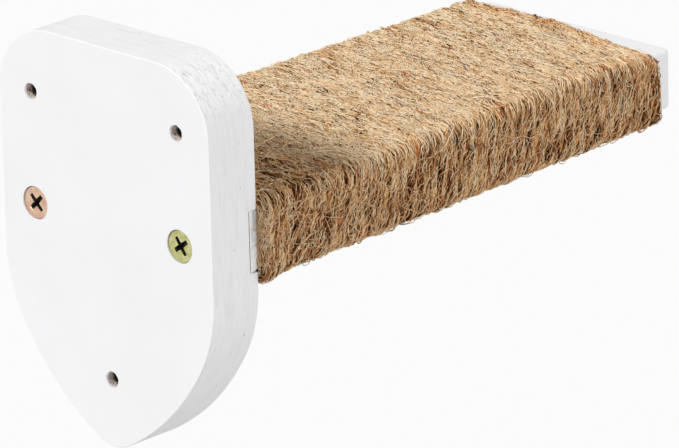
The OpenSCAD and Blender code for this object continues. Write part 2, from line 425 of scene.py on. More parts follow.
@dataclass(frozen=True)
class Arc:
    """A round stretch of an outline: centre and radius in millimetres, its two angles in degrees."""

    centre: Pair
    radius: float
    first: float
    last: float

    def end(self, angle: float) -> Pair:
        """The arc's point at an angle in degrees."""
        turn = math.radians(angle)
        return (self.centre[0] + self.radius * math.cos(turn),
                self.centre[1] + self.radius * math.sin(turn))

    def steps(self, chord_error: float) -> int:
        """Facets that keep within the given distance of the true arc."""
        facet = 2 * math.acos(1 - chord_error / self.radius)
        return max(2, math.ceil(abs(math.radians(self.last - self.first)) / facet))

    def mirrored(self) -> "Arc":
        """The same arc on the other side of the centre line, in the same sense."""
        return Arc((-self.centre[0], self.centre[1]), self.radius, 180 - self.last, 180 - self.first)


class Bench:
    """The maker's bench: the operators that shape a piece, used as by hand."""

    CHORD_ERROR = 0.004
    NEAR = 1e-6

    @staticmethod
    def clear() -> None:
        """Leave edit mode and deselect everything."""
        if bpy.context.object and bpy.context.object.mode == "EDIT":
            bpy.ops.object.mode_set(mode="OBJECT")
        bpy.ops.object.select_all(action="DESELECT")

    @staticmethod
    def take_all() -> None:
        """Select everything of the piece in edit mode."""
        bpy.ops.mesh.select_all(action="SELECT")

    @staticmethod
    def face_out() -> None:
        """Turn the piece's faces outwards, and leave all selected."""
        Bench.take_all()
        bpy.ops.mesh.normals_make_consistent(inside=False)

    @staticmethod
    def name(label: str) -> Piece:
        """Name the active object and its mesh.

        Args:
            label: The name.

        Returns:
            The object.
        """
        piece = bpy.context.object
        piece.name = label
        piece.data.name = label
        return piece

    @staticmethod
    def dot(label: str, place: Vector) -> Piece:
        """Start a piece as a single vertex, left selected in edit mode.

        Args:
            label: The piece's name.
            place: Where the vertex goes, in metres.

        Returns:
            The new object, at the origin.
        """
        Bench.clear()
        bpy.ops.mesh.primitive_plane_add(size=MM, enter_editmode=True, location=(0, 0, 0))
        bpy.context.tool_settings.mesh_select_mode = (True, False, False)
        Bench.take_all()
        bpy.ops.mesh.merge(type="CENTER")
        bpy.ops.transform.translate(value=place)
        return Bench.name(label)

    @staticmethod
    def block(label: str, size: Triple) -> Piece:
        """Start a piece as a block round the origin, left selected in edit mode.

        Args:
            label: The piece's name.
            size: Its three sides, in millimetres.

        Returns:
            The new object.
        """
        Bench.clear()
        bpy.ops.mesh.primitive_cube_add(size=1, enter_editmode=True, location=(0, 0, 0))
        Bench.take_all()
        bpy.ops.transform.resize(value=Vector(size) * MM)
        return Bench.name(label)

    @staticmethod
    def draw_to(start: Vector, end: Vector) -> None:
        """Extrude the selected vertex along a straight run."""
        bpy.ops.mesh.extrude_region_move(TRANSFORM_OT_translate={"value": end - start})

    @staticmethod
    def trace(label: str, arcs: list[Arc], lift: Callable[[float, float], Vector], axis: Axis,
              turn: int) -> Piece:
        """Draw a closed outline of arcs and straight runs, and fill it with one face.

        Args:
            label: The piece's name.
            arcs: The outline's arcs, clockwise in their own plane; a square corner has no radius.
            lift: Turns a point of the outline's plane into a place in metres.
            axis: The axis that the arcs turn about.
            turn: Sign of the spin that runs clockwise in the outline's plane.

        Returns:
            The new object, in edit mode with its face selected.
        """
        places = [lift(*arc.end(arc.first)) for arc in arcs]
        piece = Bench.dot(label, places[0])
        here = places[0]
        for arc, place in zip(arcs, places):
            if (place - here).length > Bench.NEAR:
                Bench.draw_to(here, place)
            if arc.radius:
                angle = turn * math.radians(arc.first - arc.last)
                bpy.ops.mesh.spin(steps=arc.steps(Bench.CHORD_ERROR), axis=axis.value,
                                  center=lift(*arc.centre), angle=angle)
            here = lift(*arc.end(arc.last))
        Bench.draw_to(here, places[0])
        Bench.merge()
        bpy.ops.mesh.edge_face_add()
        return piece

    @staticmethod
    def merge() -> None:
        """Merge vertices that lie on each other, and leave all selected."""
        Bench.take_all()
        bpy.ops.mesh.remove_doubles(threshold=Bench.NEAR)
        Bench.take_all()

    @staticmethod
    def thicken(along: Vector) -> None:
        """Extrude the selected face into a slab, with its faces turned outwards."""
        bpy.ops.mesh.extrude_region_move(TRANSFORM_OT_translate={"value": along})
        Bench.face_out()

    @staticmethod
    def select(piece: Piece, pick: Pick, test: Test, leave: Test | None = None) -> None:
        """Select the vertices or edges of a piece by their place.

        Args:
            piece: The active piece, which is left in edit mode.
            pick: Whether vertices or edges are selected.
            test: Takes a vertex's place in metres; an edge is selected if both ends pass.
            leave: An edge whose ends both pass this one is left out.
        """
        bpy.ops.object.mode_set(mode="OBJECT")
        mesh = piece.data
        passed = [test(v.co) for v in mesh.vertices]
        left = [bool(leave and leave(v.co)) for v in mesh.vertices]
        for group in (mesh.vertices, mesh.edges, mesh.polygons):
            group.foreach_set("select", [False] * len(group))
        if pick is Pick.VERTICES:
            mesh.vertices.foreach_set("select", passed)
        else:
            ends = [tuple(edge.vertices) for edge in mesh.edges]
            mesh.edges.foreach_set(
                "select", [passed[a] and passed[b] and not (left[a] and left[b]) for a, b in ends])
        modes = (pick is Pick.VERTICES, pick is Pick.EDGES, False)
        bpy.context.tool_settings.mesh_select_mode = modes
        bpy.ops.object.mode_set(mode="EDIT")

    @staticmethod
    def round_over(radius: float, facets: int, slot: int = -1) -> None:
        """Round the selected edges over.

        Args:
            radius: Radius of the edge, in millimetres.
            facets: Steps round the edge.
            slot: Number of the material that the new faces take, or -1 for that of their neighbours.
        """
        bpy.ops.mesh.bevel(offset=radius * MM, offset_type="OFFSET", segments=facets, profile=0.5,
                           affect="EDGES", material=slot)

    @staticmethod
    def activate(piece: Piece) -> None:
        """Make one object the only selected and active one.

        Args:
            piece: The object.
        """
        Bench.clear()
        piece.select_set(True)
        bpy.context.view_layer.objects.active = piece

    @staticmethod
    def change(piece: Piece, kind: str, **settings: object) -> None:
        """Put a modifier on a piece and apply it.

        Args:
            piece: The piece, which becomes the active one.
            kind: Blender's name of the modifier.
            **settings: The modifier's properties.
        """
        Bench.activate(piece)
        modifier = piece.modifiers.new(kind, kind)
        for name, value in settings.items():
            setattr(modifier, name, value)
        bpy.ops.object.modifier_apply(modifier=modifier.name)

    @staticmethod
    def cut(piece: Piece, cutter: Piece, inside: Material) -> None:
        """Cut one piece by another, which is used up.

        Args:
            piece: The piece that stays.
            cutter: The piece that cuts.
            inside: The material of the cut's faces.
        """
        Bench.clear()
        cutter.data.materials.append(inside)
        Bench.change(piece, "BOOLEAN", object=cutter, operation="DIFFERENCE", solver="EXACT",
                     material_mode="TRANSFER")
        bpy.data.objects.remove(cutter)

    @staticmethod
    def smooth(piece: Piece, angle: float = 32.0) -> None:
        """Smooth the shading of round stretches and keep large faces flat.

        Args:
            piece: The piece.
            angle: Edges sharper than this stay sharp, in degrees.
        """
        Bench.activate(piece)
        bpy.ops.object.shade_smooth_by_angle(angle=math.radians(angle))
        Bench.change(piece, "WEIGHTED_NORMAL", keep_sharp=True)

    @staticmethod
    def turned(label: str, profile: Sequence[Pair], across: float,
               steps: int) -> Piece:
        """Turn a profile round an axis square to the wall face.

        Args:
            label: The piece's name.
            profile: Radius and depth from the wall face of each corner, in millimetres, axis to axis.
            across: The axis's place across the plate, in millimetres.
            steps: Facets round the axis.

        Returns:
            The closed piece, in edit mode.
        """
        corners = [Vector((across + r, -depth, 0)) * MM for r, depth in profile]
        piece = Bench.dot(label, corners[0])
        for here, there in zip(corners, corners[1:]):
            Bench.draw_to(here, there)
        Bench.take_all()
        bpy.ops.mesh.spin(steps=steps, angle=2 * math.pi, center=(across * MM, 0, 0),
                          axis=Axis.TO_WALL.value)
        Bench.merge()
        Bench.face_out()
        return piece


def settle(piece: Piece, slot: str, *nodes: str) -> Piece:
    """Hang a finished piece on the part's body.

    Args:
        piece: The piece, with its place in its mesh.
        slot: The record's material slot; not used.
        *nodes: The solids that it stands for.

    Returns:
        The piece.
    """
    Bench.clear()
    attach(piece, BODY)
    if nodes:
        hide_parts(*nodes)
    LOG.info("%s: %d faces", piece.name, len(piece.data.polygons))
    return piece


@dataclass
class WallPlate:
    """The shield-shaped plate that is screwed to the wall."""

    width: float = 82.0
    thickness: float = 18.0
    top: float = 52.0
    corner_r: float = 20.0
    side_drop: float = 14.0
    shoulder_r: float = 43.0
    shoulder_turn: float = 30.0
    flank_r: float = 78.0
    tip_r: float = 12.5
    wall_ease: float = 0.25
    front_ease: float = 0.5
    ease_facets: int = 5
    housing_depth: float = 3.32
    housing_height: float = 18.16
    housing_wedge: float = 0.5
    housing_cuts: int = 30
    housing_tear: float = 0.13
    housing_seed: int = 2
    hole_d: float = 4.2
    hole_facets: int = 30
    hole_rings: int = 8
    hole_tear: float = 0.16
    hole_seed: int = 3
    hole_places: Pairs = ((-28.5, 33.0), (28.5, 33.0), (0.0, -46.0))
    chip_width: float = 0.35
    chip_depth: float = 0.3
    seat_profile: Pairs = (
        (0.0, -1.0), (4.92, -1.0), (4.92, 0.9), (2.6, 3.2), (2.6, 19.0), (0.0, 19.0))
    seat_facets: int = 48
    finish: PaintedWood = PaintedWood("white_paint_on_plate")
    bare: RawWood = RawWood()

    def arcs(self) -> list[Arc]:
        """Work the outline out, from tangent arcs.

        Returns:
            The arcs, clockwise from the top right corner.
        """
        half = self.width / 2
        corner = Arc((half - self.corner_r, self.top - self.corner_r), self.corner_r, 90, 0)
        shoulder = Arc((half - self.shoulder_r, -self.side_drop), self.shoulder_r, 0, -self.shoulder_turn)
        lean = math.radians(self.shoulder_turn)
        inward = self.shoulder_r - self.flank_r
        flank_x = shoulder.centre[0] + inward * math.cos(lean)
        flank_z = shoulder.centre[1] - inward * math.sin(lean)
        flank_turn = math.degrees(math.acos(-flank_x / (self.flank_r - self.tip_r)))
        flank = Arc((flank_x, flank_z), self.flank_r, -self.shoulder_turn, -flank_turn)
        drop = (self.flank_r - self.tip_r) * math.sin(math.radians(flank_turn))
        tip = Arc((0, flank_z - drop), self.tip_r, -flank_turn, flank_turn - 180)
        half_arcs = [corner, shoulder, flank]
        return half_arcs + [tip] + [arc.mirrored() for arc in reversed(half_arcs)]

    def slab(self) -> Piece:
        """Draw the outline on the wall face, extrude the slab and round its edges over.

        Returns:
            The plate, still without holes, in edit mode.
        """
        piece = Bench.trace("white_wall_plate", self.arcs(), lambda x, z: Vector((x, 0, z)) * MM,
                            Axis.TO_WALL, -1)
        Bench.thicken(Vector((0, -self.thickness * MM, 0)))
        for level, ease in ((0.0, self.wall_ease), (-self.thickness * MM, self.front_ease)):
            Bench.select(piece, Pick.EDGES, lambda co: abs(co.y - level) < Bench.NEAR)
            Bench.round_over(ease, self.ease_facets)
        return piece

    def housing_cutter(self) -> Piece:
        """Make the groove for the board, a little rough, and open along its lower edge.

        Returns:
            The cutter.
        """
        depth = self.housing_depth + 1
        middle = -self.thickness + self.housing_depth - depth / 2
        cutter = Bench.block("housing_cutter", (self.width + 2, depth, self.housing_height))
        bpy.ops.transform.translate(value=(0, middle * MM, 0))
        Bench.select(cutter, Pick.EDGES, lambda co: co.z < 0 and co.y < middle * MM)
        bpy.ops.transform.translate(value=(0, 0, -self.housing_wedge * MM))
        Bench.take_all()
        bpy.ops.mesh.subdivide(number_cuts=self.housing_cuts)
        bpy.ops.transform.vertex_random(offset=self.housing_tear * MM, seed=self.housing_seed)
        return cutter

    def hole_cutter(self, place: Pair, seed: int) -> Piece:
        """A drilled hole with torn walls and a chipped rim.

        Args:
            place: The hole's centre on the wall face.
            seed: Seed of the tear.

        Returns:
            The cutter.
        """
        r = self.hole_d / 2
        rim = r + self.chip_width
        deep = self.thickness + 1
        profile = [(0, -1), (rim, -1), (rim, 0), (r, self.chip_depth)]
        profile += [(r, deep * i / self.hole_rings) for i in range(1, self.hole_rings)]
        cutter = Bench.turned("hole_cutter", profile + [(r, deep), (0, deep)], 0, self.hole_facets)
        bpy.ops.transform.vertex_random(offset=self.hole_tear * MM, seed=seed)
        bpy.ops.transform.translate(value=Vector((place[0], 0, place[1])) * MM)
        return cutter

    def build(self) -> Piece:
        """Make the plate with its groove, screw seats and wall holes.

        Returns:
            The finished plate.
        """
        piece = self.slab()
        Bench.clear()
        paint = self.finish.material()
        raw = self.bare.material()
        piece.data.materials.append(paint)
        Bench.cut(piece, self.housing_cutter(), paint)
        for across in SCREW_PLACES:
            seat = Bench.turned("seat_cutter", self.seat_profile, across, self.seat_facets)
            Bench.cut(piece, seat, paint)
        for seed, place in enumerate(self.hole_places, self.hole_seed):
            Bench.cut(piece, self.hole_cutter(place, seed), raw)
        Bench.smooth(piece)
        return settle(piece, "painted_plate", "wall_plate")


@dataclass
class StepBoard:
    """The tapering board that carries the cat."""

    seat: float = 15.0
    root_half: float = 41.0
    end_half: float = 36.0
    projection: float = 196.0
    square_to: float = 18.0
    thickness: float = 18.0
    corner_r: float = 2.5
    ease: float = 1.2
    ease_facets: int = 5
    pilot_r: float = 2.6
    pilot_end: float = 50.5
    pilot_facets: int = 24
    finish: PaintedWood = PaintedWood(
        "white_paint_on_board", paint="#EFF0F1", streak_mm=(0.6, 22.0, 0.6), pit_mm=(0.7, 2.6, 0.7),
        pit_lean=(0.6, 0.9))
    bare: RawWood = RawWood("raw_wood_in_pilot_holes")

    def slope(self) -> float:
        """How much each side draws in for each millimetre out."""
        return (self.root_half - self.end_half) / (self.projection - self.seat)

    def half(self, out: Array) -> Array:
        """Half the board's width at distances out from the wall."""
        return self.root_half - (out - self.seat) * self.slope()

    def arcs(self) -> list[Arc]:
        """Work the outline from above out: square corners at the seat, rounded ones at the free end.

        Returns:
            The corners' arcs, clockwise.
        """
        taper = math.degrees(math.atan(self.slope()))
        out = self.projection - self.corner_r
        inset = self.corner_r / math.cos(math.radians(taper))
        seat = Arc((self.root_half, -self.seat), 0, 0, 0)
        free = Arc((self.half(out) - inset, -out), self.corner_r, -taper, -90)
        return [seat, free, free.mirrored(), seat.mirrored()]

    def build(self) -> Piece:
        """Make the board: outline, slab, eased edges and the screws' pilot holes.

        Returns:
            The finished board.
        """
        low = -self.thickness / 2 * MM
        piece = Bench.trace("white_step_board", self.arcs(), lambda x, y: Vector((x * MM, y * MM, low)),
                            Axis.UP, 1)
        Bench.thicken(Vector((0, 0, self.thickness * MM)))
        housed = -self.square_to * MM
        bpy.ops.mesh.bisect(plane_co=(0, housed, 0), plane_no=Axis.TO_WALL.value)
        for level in (low, -low):
            Bench.select(piece, Pick.EDGES, lambda co: abs(co.z - level) < Bench.NEAR,
                         lambda co: co.y > housed - Bench.NEAR)
            Bench.round_over(self.ease, self.ease_facets)
        Bench.clear()
        piece.data.materials.append(self.finish.material())
        raw = self.bare.material()
        back = self.seat - 1
        profile = [(0, back), (self.pilot_r, back), (self.pilot_r, self.pilot_end), (0, self.pilot_end)]
        for across in SCREW_PLACES:
            Bench.cut(piece, Bench.turned("pilot_cutter", profile, across, self.pilot_facets), raw)
        Bench.smooth(piece)
        return settle(piece, "painted_board", "step_board")


@dataclass
class JointScrew:
    """A countersunk wood screw with a cross recess, its head sunk in the wall face."""

    node: str
    slot: str
    across: float
    cross_turn: float
    finish: PlatedSteel
    head_profile: Pairs = (
        (0.0, 0.4), (4.4, 0.4), (4.62, 0.46), (4.7, 0.58), (4.7, 0.8), (2.5, 3.0), (1.9, 3.9),
        (1.75, 6.0), (1.75, 44.5), (1.2, 47.5), (0.0, 50.4))
    facets: int = 48
    recess: PaintedShadeRecess = PaintedShadeRecess()
    recess_l: float = 7.9
    recess_w: float = 2.0
    recess_wing: float = 0.74
    recess_depth: float = 2.3
    recess_draft: float = 0.52
    recess_ease: float = 0.26
    recess_facets: int = 2
    sink: float = 0.4
    thread_r: float = 2.5
    thread_root: float = 1.7
    thread_pitch: float = 2.6
    thread_share: float = 0.36
    thread_start: float = 18.0
    thread_turns: int = 10
    thread_steps: int = 18

    def recess_cutter(self, turn: float) -> Piece:
        """Two opposite wings of the cross recess, narrower at their ends and drawn in towards the floor.

        Args:
            turn: Turn of the wings about the screw's axis, in degrees.

        Returns:
            The cutter.
        """
        cutter = Bench.block("recess_cutter", (self.recess_l, 2 * self.recess_depth, self.recess_w))
        bpy.ops.mesh.bisect(plane_co=(0, 0, 0), plane_no=Axis.ACROSS.value)
        Bench.select(cutter, Pick.VERTICES, lambda co: abs(co.x) > Bench.NEAR)
        bpy.ops.transform.resize(value=(1, 1, self.recess_wing))
        Bench.select(cutter, Pick.VERTICES, lambda co: co.y < 0)
        bpy.ops.transform.resize(value=(self.recess_draft, 1, self.recess_draft))
        Bench.clear()
        cutter.rotation_euler = (0, -math.radians(turn), 0)
        cutter.location = Vector((self.across, -self.sink, 0)) * MM
        Bench.activate(cutter)
        bpy.ops.object.transform_apply(location=True, rotation=True, scale=True)
        return cutter

    def thread(self) -> Piece:
        """Wind the helical ridge of the thread, closed at both ends.

        Returns:
            The ridge.
        """
        start = -self.thread_start
        foot = self.thread_pitch * self.thread_share
        corners = [(self.thread_root, start), (self.thread_r, start - foot / 2),
                   (self.thread_root, start - foot)]
        places = [Vector((r, y, 0)) * MM for r, y in corners]
        ridge = Bench.dot("thread", places[0])
        for here, there in zip(places, places[1:] + places[:1]):
            Bench.draw_to(here, there)
        Bench.merge()
        steps = self.thread_steps
        Bench.change(ridge, "SCREW", axis="Y", screw_offset=-self.thread_pitch * MM, steps=steps,
                     render_steps=steps, iterations=self.thread_turns, use_merge_vertices=True)
        bpy.ops.object.mode_set(mode="EDIT")
        Bench.take_all()
        bpy.ops.mesh.fill_holes(sides=4)
        Bench.face_out()
        bpy.ops.transform.translate(value=(self.across * MM, 0, 0))
        Bench.clear()
        return ridge

    def build(self) -> Piece:
        """Turn the screw, cut its recess and wind its thread.

        Returns:
            The finished screw.
        """
        piece = Bench.turned(f"{self.node}_body", self.head_profile, self.across, self.facets)
        Bench.clear()
        plating = self.finish.material()
        # The recess takes a near-black finish as painted shade of its depth.
        recess_shade = self.recess.material()
        piece.data.materials.append(plating)
        for turn in (self.cross_turn, self.cross_turn + 90):
            Bench.cut(piece, self.recess_cutter(turn), recess_shade)
        reach = self.recess_l / 2 * MM
        Bench.activate(piece)
        Bench.select(piece, Pick.EDGES, lambda co: abs(co.y + self.sink * MM) < Bench.NEAR
                     and math.hypot(co.x - self.across * MM, co.z) < reach)
        Bench.round_over(self.recess_ease, self.recess_facets, 0)
        ridge = self.thread()
        ridge.data.materials.append(plating)
        Bench.activate(piece)
        ridge.select_set(True)
        bpy.ops.object.join()
        Bench.smooth(piece)
        return settle(piece, self.slot, self.node)


def wander(along: Array, wave: float, rng: Rng) -> Array:
    """A smooth random swing between about -1 and 1.

    Args:
        along: Places along a strand, in millimetres.
        wave: Length of its longest swing.
        rng: Source of its phases.

    Returns:
        The swing at each place.
    """
    parts = [np.sin(2 * np.pi * (along / (wave * share) + rng.random())) for share in (1.0, 0.62, 0.37)]
    return sum(parts) / 2


def unit(vectors: Array) -> Array:
    """Scale vectors to length one."""
    return vectors / np.linalg.norm(vectors, axis=-1, keepdims=True)


def new_piece(label: str, places: Array, faces: list[list[int]], maps: dict[str, Array],
              reading: tuple[str, Array], material: Material) -> Piece:
    """Make a smooth piece from worked-out places.

    Args:
        label: The piece's name.
        places: Its vertices, in millimetres.
        faces: The vertices of each face.
        maps: UV maps by name, each with one pair of numbers to a face corner.
        reading: Name and values of the number that each vertex carries for the finish.
        material: The finish.

    Returns:
        The piece, in the scene.
    """
    mesh = bpy.data.meshes.new(label)
    mesh.from_pydata((places.reshape(-1, 3) * MM).tolist(), [], faces)
    for name, corners in maps.items():
        layer = mesh.uv_layers.new(name=name)
        layer.data.foreach_set("uv", corners.astype(np.float32).ravel())
    name, values = reading
    attribute = mesh.attributes.new(name, "FLOAT", "POINT")
    attribute.data.foreach_set("value", values.astype(np.float32).ravel())
    mesh.shade_smooth()
    mesh.materials.append(material)
    piece = bpy.data.objects.new(label, mesh)
    bpy.context.scene.collection.objects.link(piece)
    return piece


@dataclass
class Course:
    """A strand's course: centre line, directions and section sizes at each of its rings."""

    centre: Array
    outward: Array
    width: Array
    height: Array
    along: Array = field(init=False)
    ahead: Array = field(init=False)
    aside: Array = field(init=False)

    def __post_init__(self) -> None:
        """Work out the lengths and directions along the course."""
        steps = np.linalg.norm(np.diff(self.centre, axis=0), axis=1)
        self.along = np.concatenate([[0.0], np.cumsum(steps)])
        self.ahead = unit(np.gradient(self.centre, axis=0))
        self.aside = unit(np.cross(self.ahead, self.outward))
        self.outward = unit(np.cross(self.aside, self.ahead))


class Lift(Enum):
    """How a loose fibre stands off the twine along its length."""

    LAID = "both ends tucked in, the middle a little loose"
    TIP = "one end free"
    ARCH = "both ends held, the middle bowed up"

    def shape(self, share: Array) -> Array:
        """Height along the fibre, from 0 to 1.

        Args:
            share: Places along the fibre, from 0 to 1.

        Returns:
            The height at each place.
        """
        if self is Lift.TIP:
            return share ** 1.6
        bow = np.sin(np.pi * share)
        return bow ** 2 if self is Lift.ARCH else 0.3 + 0.7 * bow


@dataclass(frozen=True)
class FibreLot:
    """One kind of loose fibre: lengths in millimetres, turns in degrees, tint as mean and spread.

    A lot with a home keeps to that lane and that stretch of its turns.
    """

    name: str
    locks: int
    length: float
    stray: float
    bend: float
    curl: float
    curl_mm: float
    stand: float
    dive: Pair
    radius: Pair
    tint: Pair
    rust: float
    per_lock: int = 1
    lock_width: float = 0.0
    lock_stray: float = 0.0
    sink: float = 0.0
    weave: float = 0.0
    points: int = 6
    lift: Lift = Lift.LAID
    top_lit_shift: float = 0.0
    patchy: float = 0.0
    length_spread: float = 0.35
    home: tuple[int, int] | None = None


@dataclass
class Winding:
    """The two jute strands, wound side by side round the board, and their loose fibres."""

    board: StepBoard
    turns: int = 20
    first_out: float = 20.1
    pitch: float = 4.254
    clear: float = 0.1
    core_t: float = 2.9
    body_w: float = 4.1
    body_t: float = 2.6
    edge_steps: int = 5
    side_steps: int = 12
    face_steps: int = 60
    sides: int = 12
    lay_mm: float = 13.0
    groove_share: float = 0.12
    tail_len: float = 10.0
    tail_steps: int = 8
    squeezed_w_share: float = 0.65
    squeezed_t_share: float = 0.7
    squeeze_share: float = 0.45
    uneven: float = 0.05
    uneven_mm: Pair = (47.0, 31.0)
    sway: float = 0.12
    sway_mm: float = 90.0
    map_margin: float = 0.04
    cell_margin: float = 0.05
    flank_turn: float = 2.25
    draw_start: float = 150.0
    draw: Pairs = ((1.5, 0.0), (2.0, 0.5), (3.0, 3.8), (3.15, 3.8), (3.3, 2.4), (3.55, -0.4), (4.0, 0.0))
    press: Pairs = ((1.7, 0.0), (2.3, 1.3), (2.9, 1.7), (3.15, 0.4), (3.4, 0.0))
    slack: Pairs = ((0.4, 1.2), (0.9, 0.0), (7.0, 0.0), (7.8, 1.2))
    tight: Pairs = ((3.5, 0.0), (4.0, 0.6), (4.5, 0.6), (5.0, 0.0))
    crowd: tuple[float, ...] = (1.5, 1.7, 1.8, 1.5, 1.8, 1.7, 1.4, 0.7)
    rim_crowd: float = 2.2
    matted_share: float = 0.45
    combed_share: float = 0.5
    lay_turn: float = 20.0
    patch_mm: Pair = (18.0, 7.0)
    patch_waves: int = 24
    mottle: float = 0.05
    even_share: float = 0.6
    palest: Pair = (0.88, 0.9)
    groove_sag: float = 0.85
    groove_shade: float = 0.46
    groove_worn: float = 0.75
    neat_out: Pair = (45.0, 105.0)
    neat_shade: Pair = (0.8, 1.0)
    neat_stray: Pair = (1.0, 0.6)
    last_shade: float = -0.2
    pool_share: int = 3
    home_off: float = -0.2
    length_jitter: float = 0.12
    length_limits: Pair = (0.35, 3.0)
    bend_jitter: float = 0.3
    stand_jitter: float = 0.4
    tint_jitter: float = 0.1
    rust_from: float = 0.965
    own_lots: tuple[FibreLot, ...] = (
        FibreLot("bast", 3500, length=9.0, stray=10, bend=25, curl=14, curl_mm=6.0, stand=0.1,
                 dive=(0.9, 1.0), radius=(0.07, 0.12), tint=(0.58, 0.3), rust=0.014, per_lock=2,
                 lock_width=0.2, lock_stray=8, weave=0.05, top_lit_shift=0.22),
        FibreLot("fibres", 1080, length=9.0, stray=15, bend=55, curl=26, curl_mm=5.2, stand=0.34,
                 dive=(0.4, 1.0), radius=(0.08, 0.15), tint=(0.93, 0.31), rust=0.006, per_lock=5,
                 lock_width=0.15, lock_stray=5, sink=0.05, weave=0.1, points=8, top_lit_shift=0.05, patchy=0.55),
        FibreLot("curls", 4000, length=7.0, stray=42, bend=80, curl=40, curl_mm=4.2, stand=0.4,
                 dive=(0.3, 1.0), radius=(0.1, 0.23), tint=(0.94, 0.27), rust=0.004, sink=0.1, weave=0.12,
                 points=8, top_lit_shift=0.05, patchy=0.55),
        FibreLot("fuzz", 2500, length=3.0, stray=70, bend=70, curl=20, curl_mm=4.0, stand=0.48,
                 dive=(0.1, 0.8), radius=(0.03, 0.06), tint=(0.78, 0.12), rust=0.002, per_lock=2,
                 lock_width=0.5, lock_stray=30, points=5, lift=Lift.TIP, top_lit_shift=0.03, patchy=0.4))
    shared_lots: tuple[FibreLot, ...] = (
        FibreLot("stray_hairs", 1150, length=14.0, stray=80, bend=85, curl=14, curl_mm=9.0, stand=0.45,
                 dive=(0.0, 0.2), radius=(0.09, 0.16), tint=(0.95, 0.04), rust=0.003, sink=0.15, points=9,
                 lift=Lift.ARCH, top_lit_shift=0.04, length_spread=0.5),
        # Thin dark fibres laid among the others as painted shade in the gaps.
        FibreLot("painted_shade_fibres", 2700, length=5.0, stray=14, bend=30, curl=15, curl_mm=5.0, stand=0.12,
                 dive=(0.2, 0.7), radius=(0.07, 0.12), tint=(0.1, 0.06), rust=0.03, sink=0.1, weave=0.05),
        FibreLot("rusty_tufts", 28, length=3.6, stray=20, bend=30, curl=12, curl_mm=4.0, stand=0.2,
                 dive=(0.1, 0.5), radius=(0.08, 0.14), tint=(0.3, 0.1), rust=1.0, per_lock=9,
                 lock_width=0.4, lock_stray=12, sink=0.14, weave=0.05),
        FibreLot("frayed_edge", 70, length=3.4, stray=70, bend=60, curl=22, curl_mm=4.0, stand=1.5,
                 dive=(0.0, 0.2), radius=(0.03, 0.08), tint=(0.8, 0.12), rust=0.02, per_lock=4,
                 lock_width=0.4, lock_stray=25, lift=Lift.TIP, patchy=0.4, home=(0, 1)),
        FibreLot("bark_specks", 80, length=2.6, stray=30, bend=30, curl=0, curl_mm=4.0, stand=0.25,
                 dive=(0.1, 0.5), radius=(0.12, 0.22), tint=(0.05, 0.05), rust=0.4, per_lock=2,
                 lock_width=0.25, lock_stray=25, sink=0.2, points=5))
    seed: int = 11
    twine: JuteTwine = JuteTwine()
    fibre: JuteFibre = JuteFibre()

    def __post_init__(self) -> None:
        """Work out the path's corner, its half height and its stretches, and make the two materials."""
        self.corner = self.board.ease + self.clear + self.core_t / 2
        self.rise = self.board.thickness / 2 + self.clear + self.core_t / 2 - self.corner
        self.last_out = self.first_out + (2 * self.turns - 1) * self.pitch
        edge = np.pi / 2 * self.corner
        face = 2 * self.run(np.array((self.first_out + self.last_out) / 2))
        self.ends = np.concatenate([[0.0], np.cumsum([edge, 2 * self.rise, edge, face] * 2)])
        rng = np.random.default_rng(self.seed)
        self.waves = rng.normal(0, 2 * np.pi, (self.patch_waves, 2)).T / np.array(self.patch_mm)[:, None]
        self.phases = rng.uniform(0, 2 * np.pi, self.patch_waves)
        self.twine_material = self.twine.material()
        self.fibre_material = self.fibre.material()

    def thickets(self, around: Array, lane: Array) -> Array:
        """How thickly the loose fibres stand in places, above or below 0, by a smooth random field."""
        swing = around[:, None] * self.waves[0] + lane[:, None] * self.waves[1] + self.phases
        return np.cos(swing).sum(axis=1) * math.sqrt(2 / self.patch_waves)

    def run(self, out: Array) -> Array:
        """Half the straight run of the path across the board."""
        return self.board.half(out) + self.clear + self.core_t / 2 - self.corner

    def spot(self, lap: Array, out: Array) -> tuple[Array, Array]:
        """Places on the surface through the strands' centre lines.

        The last turns are drawn in and pressed down where they come over the board's left top edge,
        all are pulled tight over the right one, and the first hangs a little slack below the left side.

        Args:
            lap: Place on a turn, in stretches: even ones go round an edge of the board, odd ones run
                up the left side, across the top, down the right side and back below.
            out: Distance out from the wall, in millimetres.

        Returns:
            The places in millimetres, and the directions away from the board.
        """
        lap = np.mod(lap, STRETCHES)
        stretch = np.floor(lap)
        share = lap - stretch
        edge = np.floor(stretch / 2)
        on_edge = stretch % 2 == 0
        lean = np.radians(270 - 90 * edge - 90 * np.where(on_edge, share, 1.0))
        run = self.run(out)
        x_sign = np.where(edge < 2, -1.0, 1.0)
        z_sign = np.where((edge == 1) | (edge == 2), 1.0, -1.0)
        ahead = np.where(on_edge, 0.0, 2 * share)
        x = x_sign * run + np.where(edge == 1, ahead, np.where(edge == 3, -ahead, 0)) * run
        z = z_sign * self.rise + np.where(edge == 0, ahead, np.where(edge == 2, -ahead, 0)) * self.rise
        outward = np.stack([np.cos(lean), np.zeros_like(lean), np.sin(lean)], axis=-1)
        last = np.clip((out - self.draw_start) / (self.last_out - self.draw_start), 0, 1) ** 2
        drawn = last * np.interp(lap, *zip(*self.draw))
        pressed = last * np.interp(lap, *zip(*self.press))
        pressed = pressed + np.interp(lap, *zip(*self.tight))
        first = np.clip(1 - (out - self.first_out) / (2 * self.pitch), 0, 1)
        pressed = pressed - first * np.interp(lap, *zip(*self.slack))
        centre = np.stack([x, (drawn - out) * np.ones_like(lean), z], axis=-1)
        return centre + (self.corner - pressed)[..., None] * outward, outward

